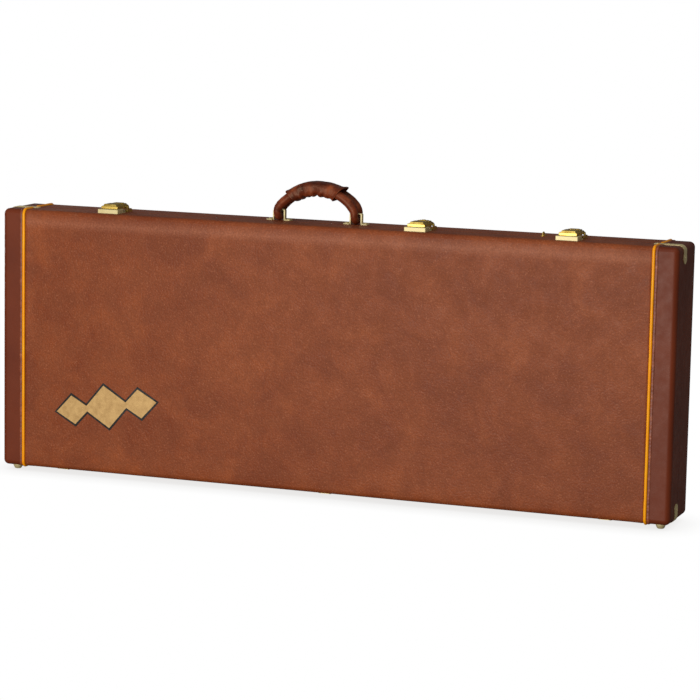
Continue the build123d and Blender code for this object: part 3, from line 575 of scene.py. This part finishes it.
def welt_profile(side_x):
    """Turned edge of the end cap: a low roll outside the piping, rippled at the stitches."""
    def outline(along):
        phase = 2 * math.pi * along / STITCH_PITCH + 1.5 * wobble(along * 20, side_x, 4.4)
        stitch = 0.5 + 0.5 * math.cos(phase)
        rise = (WELT_RISE + 0.00032 * stitch ** 2 * (0.7 + wobble(along * 31, 4.4, side_x))
                + 0.0004 * wobble(along * 130, side_x * 2, 6.1))
        near = PIPE_X + WELT_GAP
        width = WELT_WIDTH + 0.0005 * wobble(along * 60, side_x * 7, 1.1)
        points = [(side_x * near, WELT_ROOT), (side_x * near, 0.0003)]
        for i in range(1, 8):
            a = math.pi * i / 8
            points.append((side_x * (near + width * 0.5 * (1 - math.cos(a))),
                           0.0001 + rise * math.sin(a) ** 0.7))
        far = side_x * (near + width)
        return points + [(far, 0.0), (far, WELT_ROOT)]
    return outline


for body, side in HALVES:
    path = section_path(side, seam_y(PIPING[body], side), TRIM_STEP)
    for side_x, word in ((-1, "left"), (1, "right")):
        cord = hoop(f"{body}_piping_cord_{word}", path, piping_profile(side_x), GOLD_PIPING)
        attach(cord, body, f"{body}_piping_{word}")
        welt = hoop(f"{body}_cap_welt_{word}", path, welt_profile(side_x), WELT)
        attach(welt, body)


# ---------------------------------------------------------------- handle
def middle(node, axis):
    lo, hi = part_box(node)
    return 0.5 * (lo[axis] + hi[axis])


LEFT_X = middle("handle_bracket_left", 0)
RIGHT_X = middle("handle_bracket_right", 0)
HANDLE_Y = middle("handle_leather_loop", 1)
PIVOT_Z = TOP_Z + 0.018
HALF_SPAN = 0.5 * (RIGHT_X - LEFT_X)
MID_X = 0.5 * (LEFT_X + RIGHT_X)
RISE = 0.040
STRAND_Y = 0.0112                  # each strand's distance from the handle's mid plane
ARCH_STEPS, TURN_STEPS = 110, 26


def arch(t):
    """Centreline (x, z) from the right (t = 0) to the left (t = pi), fuller on the right."""
    c, s = math.cos(t), max(0.0, math.sin(t))
    power = 1 + (0.16 if c > 0 else 0.34) * (1 - s ** 6)
    return MID_X + HALF_SPAN * math.copysign(abs(c) ** power, c), PIVOT_Z + RISE * s ** power


def arch_frame(t):
    """Centre, tangent, and the direction away from the handle's opening."""
    x, z = arch(t)
    xa, za = arch(t - 0.02)
    xb, zb = arch(t + 0.02)
    center = Vector((x, HANDLE_Y, z))
    tangent = Vector((xb - xa, 0, zb - za)).normalized()
    out = Vector((tangent.z, 0, -tangent.x))
    if out.dot(center - Vector((MID_X, HANDLE_Y, PIVOT_Z))) < 0:
        out = -out
    return center, tangent, out


def handle_loop():
    """One closed line: over the arch, round the left end, back over, round the right."""
    points = []
    for sign, end_x in ((1, LEFT_X), (-1, RIGHT_X)):
        for i in range(ARCH_STEPS):
            t = math.pi * i / ARCH_STEPS if sign > 0 else math.pi * (1 - i / ARCH_STEPS)
            x, z = arch(t)
            points.append((x, HANDLE_Y + sign * STRAND_Y, z))
        for i in range(TURN_STEPS):
            t = math.pi * i / TURN_STEPS
            points.append((end_x, HANDLE_Y + sign * STRAND_Y * math.cos(t),
                           PIVOT_Z - STRAND_Y * math.sin(t)))
    return points


def tube(name, points, radius, material, sides):
    """A tube swept round a closed line; radius(i, angle) is in metres."""
    centers = [Vector(p) for p in points]
    n = len(centers)
    tangents = [(centers[(i + 1) % n] - centers[i - 1]).normalized() for i in range(n)]
    up = Vector((0, 1, 0))
    first = tangents[0]
    normals = [(up - first * up.dot(first)).normalized()]
    for tangent in tangents[1:]:
        carried = normals[-1] - tangent * normals[-1].dot(tangent)
        normals.append(carried.normalized())
    # the twist built up in one lap is spread over the whole loop
    last = normals[-1] - first * normals[-1].dot(first)
    last.normalize()
    twist = math.atan2(normals[0].cross(last).dot(first), normals[0].dot(last))
    verts = []
    for i in range(n):
        turn = -twist * i / n
        binormal = tangents[i].cross(normals[i])
        for j in range(sides):
            a = 2 * math.pi * j / sides
            spoke = normals[i] * math.cos(a + turn) + binormal * math.sin(a + turn)
            verts.append(centers[i] + spoke * radius(i, a))
    return make(name, verts, ring_quads(n, sides, closed=True), material)


def strand_swell(t):
    """Strand radius: thinner towards the brackets."""
    return 0.0067 + 0.0010 * min(1.0, math.sin(t) / 0.34)


def strand_radius(i, a):
    lap = i % (ARCH_STEPS + TURN_STEPS)
    t = math.pi * lap / ARCH_STEPS if lap < ARCH_STEPS else 0.0
    c, s = math.cos(a), math.sin(a)
    wrinkle = (0.00022 * wobble(i * 0.35, c * 1.4, s * 1.4)
               + 0.00012 * wobble(i * 1.1, c * 4, s * 4))
    return strand_swell(t) + wrinkle


def cord_radius(i, a):
    return 0.0025 + 0.0002 * math.cos(2 * a + i * 0.6)


loop = handle_loop()
strands = tube("handle_strands", loop, strand_radius, HANDLE_LEATHER, sides=30)
attach(strands, "handle", "handle_leather_loop")
cords = tube("handle_cords", loop, cord_radius, ROPE, sides=12)
attach(cords, "handle", "handle_cord_core")


def handle_stitches():
    """Stitches along the underside of both strands, left out beneath the sleeve."""
    half_long, half_wide, tall, sunk = 0.0011, 0.00035, 0.0004, 0.0002
    proud = 0.00005                # seat above the strand's plain radius
    hidden = (0.88, 2.44)          # angles along the arch
    block = ((-1, -1, 0), (1, -1, 0), (1, 1, 0), (-1, 1, 0),
             (-0.6, -0.6, 1), (0.6, -0.6, 1), (0.6, 0.6, 1), (-0.6, 0.6, 1))
    block_faces = ((0, 3, 2, 1), (4, 5, 6, 7), (0, 1, 5, 4),
                   (1, 2, 6, 5), (2, 3, 7, 6), (3, 0, 4, 7))
    across = Vector((0, 1, 0))
    verts, faces = [], []
    for sign in (-1, 1):
        for i in range(6, 54):
            t = math.pi * i / 60
            if hidden[0] < t < hidden[1]:
                continue
            center, tangent, out = arch_frame(t)
            inward = -out
            seat = (Vector((center.x, HANDLE_Y + sign * STRAND_Y, center.z))
                    + inward * (strand_swell(t) + proud))
            start = len(verts)
            for u, w, h in block:
                verts.append(seat + tangent * u * half_long + across * w * half_wide
                             + inward * (h * tall - sunk))
            faces += [tuple(start + k for k in face) for face in block_faces]
    return make("handle_stitches", verts, faces, THREAD)


attach(handle_stitches(), "handle")

# sleeve: wrapped leather gathered underneath, with flared ends
SLEEVE_FROM, SLEEVE_TO = math.radians(53), math.radians(136)
SLEEVE_ROWS, SLEEVE_SIDES = 150, 96
SLEEVE_HALF_Y, SLEEVE_OUT, SLEEVE_IN = 0.0197, 0.0117, 0.0142
SLEEVE_THICK = 0.0013
SLEEVE_MEAN = 0.013                # mean radius for the thickness direction
# gathers: place along the sleeve (0 to 1), width in the same measure, depth factor
GATHERS = ((0.14, 0.07, 0.35), (0.31, 0.05, 0.3), (0.455, 0.044, 1.25),
           (0.60, 0.05, 0.35), (0.755, 0.052, 1.15), (0.91, 0.05, 0.25))


def bell(x, width):
    return math.exp(-(x / width) ** 2)


def sleeve_point(u, a, inner):
    """u runs from the right end to the left; angle a is 0 outward and pi inward."""
    center, tangent, out = arch_frame(SLEEVE_FROM + (SLEEVE_TO - SLEEVE_FROM) * u)
    ca, sa = math.cos(a), math.sin(a)
    squareness = 0.66
    across = SLEEVE_HALF_Y * math.copysign(abs(sa) ** squareness, sa)
    radial = (SLEEVE_OUT if ca > 0 else -SLEEVE_IN) * abs(ca) ** squareness
    low = min(1.0, max(0.0, (0.45 - ca) / 1.1))          # 0 on top, 1 underneath
    low = low * low * (3 - 2 * low)
    fold = 0.0
    for place, width, depth in GATHERS:
        place += 0.05 * (1 - low) * (0.5 - place) + 0.012 * math.copysign(1, sa)
        d = (u - place) / (width * (1 + 0.8 * (1 - low)))
        fold += depth * (math.exp(-d * d) - 0.22 * bell(abs(d) - 1.8, 0.8))
    ripple = (0.0004 * wobble(u * 16, ca * 1.8, sa * 1.8)
              + 0.00008 * wobble(u * 70, ca * 5, sa * 5))
    # the right end flares most on top; the left end flares less and draws in underneath
    flare = 0.0036 * bell(u, 0.05) * max(0.0, ca) + 0.0006 * bell(u, 0.03)
    flare += 0.0009 * bell(1 - u, 0.03) * (0.3 + max(0.0, ca))
    flare -= 0.0012 * bell(1 - u, 0.12) * max(0.0, -ca)
    if inner:
        unit_y, unit_r = across / SLEEVE_HALF_Y, radial / SLEEVE_MEAN
        size = math.hypot(unit_y, unit_r) or 1
        across -= SLEEVE_THICK * unit_y / size
        radial -= SLEEVE_THICK * unit_r / size
    scale = 1 + (ripple + flare) / 0.012
    across *= scale * (1 - 0.12 * low * fold * (1.0 - 0.45 * abs(ca)))
    radial *= scale
    if ca < 0:
        radial += 0.0024 * fold * low * (-ca) ** 0.7
    skew = 0.0040 * (abs(u - 0.5) * 2) ** 6 * ca * (1 if u < 0.5 else -1)
    return center + out * radial + Vector((0, across, 0)) - tangent * skew


def handle_wrap():
    rows, sides = SLEEVE_ROWS, SLEEVE_SIDES
    verts = [sleeve_point(i / rows, 2 * math.pi * j / sides, inner)
             for inner in (False, True) for i in range(rows + 1) for j in range(sides)]
    off = (rows + 1) * sides
    faces = []
    for a, b, d, c in ring_quads(rows + 1, sides):
        faces.append((a, b, d, c))
        faces.append((off + a, off + c, off + d, off + b))
    for j in range(sides):
        k = (j + 1) % sides
        faces.append((j, off + j, off + k, k))
        a, b = rows * sides + j, rows * sides + k
        faces.append((a, b, off + b, off + a))
    return make("handle_wrap", verts, faces, SLEEVE_LEATHER)


attach(handle_wrap(), "handle", "handle_sleeve")

# ---------------------------------------------------------------- interior
LINING_INSET = 0.0008
LINING_THICK = 0.0011


def lining(body, inset_lo_y, inset_hi_y, opens, corner):
    """A fabric tray with rounded inner corners; opens is the sign of Y it opens along."""
    lo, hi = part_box(f"{body}_lining")
    lo = lo + Vector((LINING_INSET, inset_lo_y, LINING_INSET))
    hi = hi - Vector((LINING_INSET, inset_hi_y, LINING_INSET))
    bm = bmesh.new()
    bmesh.ops.create_cube(bm, size=1.0)
    for v in bm.verts:
        v.co = Vector([(a + b) / 2 + c * (b - a) for a, b, c in zip(lo, hi, v.co)])
    bm.faces.ensure_lookup_table()
    rim_y = hi.y if opens > 0 else lo.y
    mouth = [f for f in bm.faces if abs(f.calc_center_median().y - rim_y) < 1e-6]
    bmesh.ops.delete(bm, geom=mouth, context="FACES")
    bmesh.ops.bevel(bm, geom=[e for e in bm.edges if len(e.link_faces) == 2], offset=corner,
                    segments=5, profile=0.5, affect="EDGES")
    for _ in range(6):
        long = [e for e in bm.edges if e.calc_length() > 0.03]
        if not long:
            break
        bmesh.ops.subdivide_edges(bm, edges=long, cuts=1, use_grid_fill=True)
    bmesh.ops.recalc_face_normals(bm, faces=bm.faces)
    bm.normal_update()
    center = (lo + hi) / 2
    for v in bm.verts:
        inward = v.normal.copy()
        if inward.dot(v.co - center) > 0:
            inward = -inward
        fade = min(1.0, abs(v.co.y - rim_y) / 0.01)
        ripple = 0.5 + 0.5 * wobble(v.co.x * 14, v.co.y * 14, v.co.z * 14)
        v.co += inward * (0.0006 + 0.0004 * ripple) * fade
    name = f"{body}_plush_lining"
    mesh = bpy.data.meshes.new(name)
    bm.to_mesh(mesh)
    bm.free()
    obj = new_object(name, mesh, PLUSH)
    shade_smooth(mesh)
    solidify = obj.modifiers.new("thick", "SOLIDIFY")
    solidify.thickness = LINING_THICK
    solidify.offset = 0.0
    attach(obj, body, f"{body}_lining")


lining("lid", inset_lo_y=LINING_INSET, inset_hi_y=0, opens=1, corner=0.006)
lining("base", inset_lo_y=0, inset_hi_y=0.0068, opens=-1, corner=0.008)


def welded_copy(name, node, material):
    """A copy of a CAD piece, and its welded bmesh still to be written back."""
    mesh = nodes[node].data.copy()
    obj = new_object(name, mesh, material)
    bm = bmesh.new()
    bm.from_mesh(mesh)
    bmesh.ops.remove_doubles(bm, verts=bm.verts, dist=1e-5)
    return obj, mesh, bm


def read_vectors(vertices, attribute):
    flat = np.empty(len(vertices) * 3, np.float32)
    vertices.foreach_get(attribute, flat)
    return flat.reshape(-1, 3)


def inflate(obj, start, pressure, cap):
    """Swells the piece as cloth; returns its points, none moved further than cap."""
    frames = 16
    scene = bpy.context.scene
    cloth = obj.modifiers.new("cloth", "CLOTH")
    settings = cloth.settings
    settings.quality = 4
    settings.mass = 0.3
    settings.use_pressure = True
    settings.uniform_pressure_force = pressure
    settings.tension_stiffness = 20
    settings.compression_stiffness = 20
    settings.shear_stiffness = 8
    settings.bending_stiffness = 1.2
    settings.effector_weights.gravity = 0
    cloth.point_cache.frame_start = 1
    cloth.point_cache.frame_end = frames
    for f in range(1, frames + 1):
        scene.frame_set(f)
    evaluated = obj.evaluated_get(bpy.context.evaluated_depsgraph_get())
    swollen = read_vectors(evaluated.to_mesh().vertices, "co")
    evaluated.to_mesh_clear()
    obj.modifiers.remove(cloth)
    move = swollen - start
    length = np.linalg.norm(move, axis=1, keepdims=True)
    move *= np.minimum(1, cap / np.maximum(length, 1e-9))
    scene.frame_set(1)
    return start + move


def upholster(name, node, body, voxel, pressure, cap):
    """Remeshes a soft CAD solid, swells it within its own box and rounds it."""
    shrink = 0.0012
    obj, mesh, bm = welded_copy(name, node, PLUSH)
    bm.to_mesh(mesh)
    bm.free()
    bpy.ops.object.select_all(action="DESELECT")
    bpy.context.view_layer.objects.active = obj
    obj.select_set(True)
    remesh = obj.modifiers.new("rm", "REMESH")
    remesh.mode = "VOXEL"
    remesh.voxel_size = voxel
    bpy.ops.object.modifier_apply(modifier="rm")
    points = read_vectors(mesh.vertices, "co") - read_vectors(mesh.vertices, "normal") * shrink
    mesh.vertices.foreach_set("co", points.ravel())
    mesh.update()
    points = inflate(obj, points, pressure, cap)
    lo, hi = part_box(node)
    points = np.clip(points, np.array(lo), np.array(hi))
    mesh.vertices.foreach_set("co", points.astype(np.float32).ravel())
    mesh.update()
    smooth = obj.modifiers.new("sm", "SMOOTH")
    smooth.iterations = 3
    smooth.factor = 0.5
    bpy.ops.object.modifier_apply(modifier="sm")
    subdivide = obj.modifiers.new("sub", "SUBSURF")
    subdivide.levels = 1
    subdivide.render_levels = 1
    shade_smooth(mesh)
    attach(obj, body, node)


# name, CAD node, body, voxel size, cloth pressure, furthest swelling
SOFT = (
    ("tail_pads", "tail_bolsters", "base", 0.006, 3.0, 0.004),
    ("waist_pads", "waist_bolsters", "base", 0.006, 3.0, 0.004),
    ("neck_side_pads", "neck_side_bolsters", "base", 0.006, 3.0, 0.004),
    ("neck_rest", "neck_cradle", "base", 0.004, 3.0, 0.003),
    ("lid_cushion", "lid_pad", "lid", 0.0058, 4.0, 0.005),
)
for row in SOFT:
    upholster(*row)


def soft_copy(name, node, body, bevel, material):
    """A covered board: the CAD shape with rolled edges and a slight nap."""
    obj, mesh, bm = welded_copy(name, node, material)
    bmesh.ops.dissolve_limit(bm, angle_limit=0.02, verts=bm.verts, edges=bm.edges)
    sharp = [e for e in bm.edges if len(e.link_faces) == 2 and e.calc_face_angle(0) > 0.5]
    if sharp:
        bmesh.ops.bevel(bm, geom=sharp, offset=bevel, segments=4, profile=0.5,
                        affect="EDGES", clamp_overlap=True)
    bmesh.ops.triangulate(bm, faces=bm.faces)
    for _ in range(4):
        long = [e for e in bm.edges if e.calc_length() > 0.02]
        if not long:
            break
        bmesh.ops.subdivide_edges(bm, edges=long, cuts=1)
        bmesh.ops.triangulate(bm, faces=bm.faces)
    bm.normal_update()
    for v in bm.verts:
        nap = 0.5 + 0.5 * wobble(v.co.x * 30, v.co.y * 30, v.co.z * 30)
        v.co -= v.normal * 0.0004 * nap
    bm.to_mesh(mesh)
    bm.free()
    shade_smooth(mesh)
    attach(obj, body, node)


soft_copy("accessory_compartment", "accessory_box", "base", bevel=0.0014, material=PLUSH)
soft_copy("accessory_flap_panel", "accessory_lid", "accessory_flap", bevel=0.0012,
          material=PLUSH)
soft_copy("accessory_flap_tab", "accessory_pull_tab", "accessory_flap", bevel=0.0005,
          material=HANDLE_LEATHER)


# ---------------------------------------------------------------- floor
def floor_material():
    """Clear to the camera but for a soft contact shadow; pale to bounced light."""
    mat = Shader("studio_floor")
    rays = mat.node("ShaderNodeLightPath")
    seen = rays.outputs["Is Camera Ray"]
    pale = mat.mix(mat.noise(scale=3.0, detail=2.0), (0.24, 0.225, 0.21, 1),
                   (0.26, 0.245, 0.23, 1))
    mat.principled(Base_Color=pale, Roughness=0.9, Specular_IOR_Level=0.0)

    def mix_shader(first, second):
        node = mat.node("ShaderNodeMixShader")
        put(mat.tree, node.inputs[1], first)
        put(mat.tree, node.inputs[2], second)
        return node

    clear = mat.node("ShaderNodeBsdfTransparent")
    dim = mat.node("ShaderNodeBsdfTransparent")
    mat.fill(dim, Color=(0.8, 0.79, 0.78, 1))
    contact = mat.node("ShaderNodeAmbientOcclusion", samples=6)
    mat.fill(contact, Distance=0.06)
    shade = mix_shader(clear.outputs[0], dim.outputs[0])
    closed_in = mat.math("SUBTRACT", 1.0, contact.outputs["AO"])
    put(mat.tree, shade.inputs[0], mat.math("MULTIPLY", closed_in, seen))
    below = mat.node("ShaderNodeNewGeometry").outputs["Backfacing"]
    passes = mat.math("MAXIMUM", seen, rays.outputs["Is Shadow Ray"])
    passes = mat.math("MAXIMUM", passes, below)
    pick = mix_shader(mat.bsdf.outputs[0], shade.outputs[0])
    put(mat.tree, pick.inputs[0], passes)
    put(mat.tree, mat.tree.nodes["Material Output"].inputs[0], pick.outputs[0])
    return mat.material


scene = bpy.context.scene
bpy.ops.mesh.primitive_plane_add(size=60, location=(0, 0, -0.0002))
floor = bpy.context.object
floor.name = "studio_floor"
floor.data.materials.append(floor_material())


# ---------------------------------------------------------------- light
def studio_world():
    """White to the camera, dim to reflections, soft ambient to everything else."""
    ambient, glossy_cut, camera_extra = 0.34, 0.22, 0.66
    world = bpy.data.worlds.new("studio")
    scene.world = world
    world.use_nodes = True
    tree = world.node_tree
    background = tree.nodes["Background"]
    rays = tree.nodes.new("ShaderNodeLightPath").outputs
    glossy = math_node(tree, "MULTIPLY", rays["Is Glossy Ray"], 1.0)
    cut = math_node(tree, "MULTIPLY", glossy, glossy_cut)
    level = math_node(tree, "SUBTRACT", ambient, cut)
    extra = math_node(tree, "MULTIPLY", rays["Is Camera Ray"], camera_extra)
    strength = math_node(tree, "ADD", extra, level)
    put(tree, background.inputs["Strength"], strength)
    put(tree, background.inputs["Color"], (1, 1, 1, 1))


def area(name, place, target, size, energy, size_y=None):
    light = bpy.data.lights.new(name, "AREA")
    light.energy = energy
    light.size = size
    if size_y:
        light.shape = "RECTANGLE"
        light.size_y = size_y
    obj = bpy.data.objects.new(name, light)
    scene.collection.objects.link(obj)
    obj.location = place
    aim = Vector(target) - Vector(place)
    obj.rotation_euler = aim.to_track_quat("-Z", "Y").to_euler()


studio_world()
area("key", place=(-0.45, -3.6, 0.36), target=(0.05, 0, 0.2), size=1.9, size_y=1.1, energy=84)
area("sheen", place=(0.0, -1.3, 2.0), target=(0, -0.05, 0.35), size=2.4, size_y=0.5, energy=9)
area("rear_fill", place=(-2.7, 2.1, 0.6), target=(0, 0, 0.2), size=1.2, energy=42)

scene.view_settings.view_transform = "Standard"
scene.view_settings.look = "None"
scene.view_settings.exposure = 0.0

# ---------------------------------------------------------------- camera
AZIMUTH, ELEVATION, ROLL = map(math.radians, (20.5639, 8.5414, 1.0940))
CAMERA_DISTANCE = 4.8230838
CAMERA_TARGET = Vector((0.0254346, 0, 0.240321)) + Vector((0, 0, BOTTOM_Z))
LENS_MM, SENSOR_MM = 146.491113, 36.0


def add_camera():
    back = Vector((math.sin(AZIMUTH) * math.cos(ELEVATION),
                   -math.cos(AZIMUTH) * math.cos(ELEVATION), math.sin(ELEVATION)))
    level_right = (-back).cross(Vector((0, 0, 1))).normalized()
    level_up = level_right.cross(-back)
    right = level_right * math.cos(ROLL) + level_up * math.sin(ROLL)
    up = -level_right * math.sin(ROLL) + level_up * math.cos(ROLL)
    place = CAMERA_TARGET + back * CAMERA_DISTANCE
    data = bpy.data.cameras.new("camera")
    data.sensor_width = SENSOR_MM
    data.lens = LENS_MM
    data.clip_end = 100
    obj = bpy.data.objects.new("camera", data)
    scene.collection.objects.link(obj)
    obj.matrix_world = Matrix((*zip(right, up, back, place), (0, 0, 0, 1)))
    scene.camera = obj


add_camera()
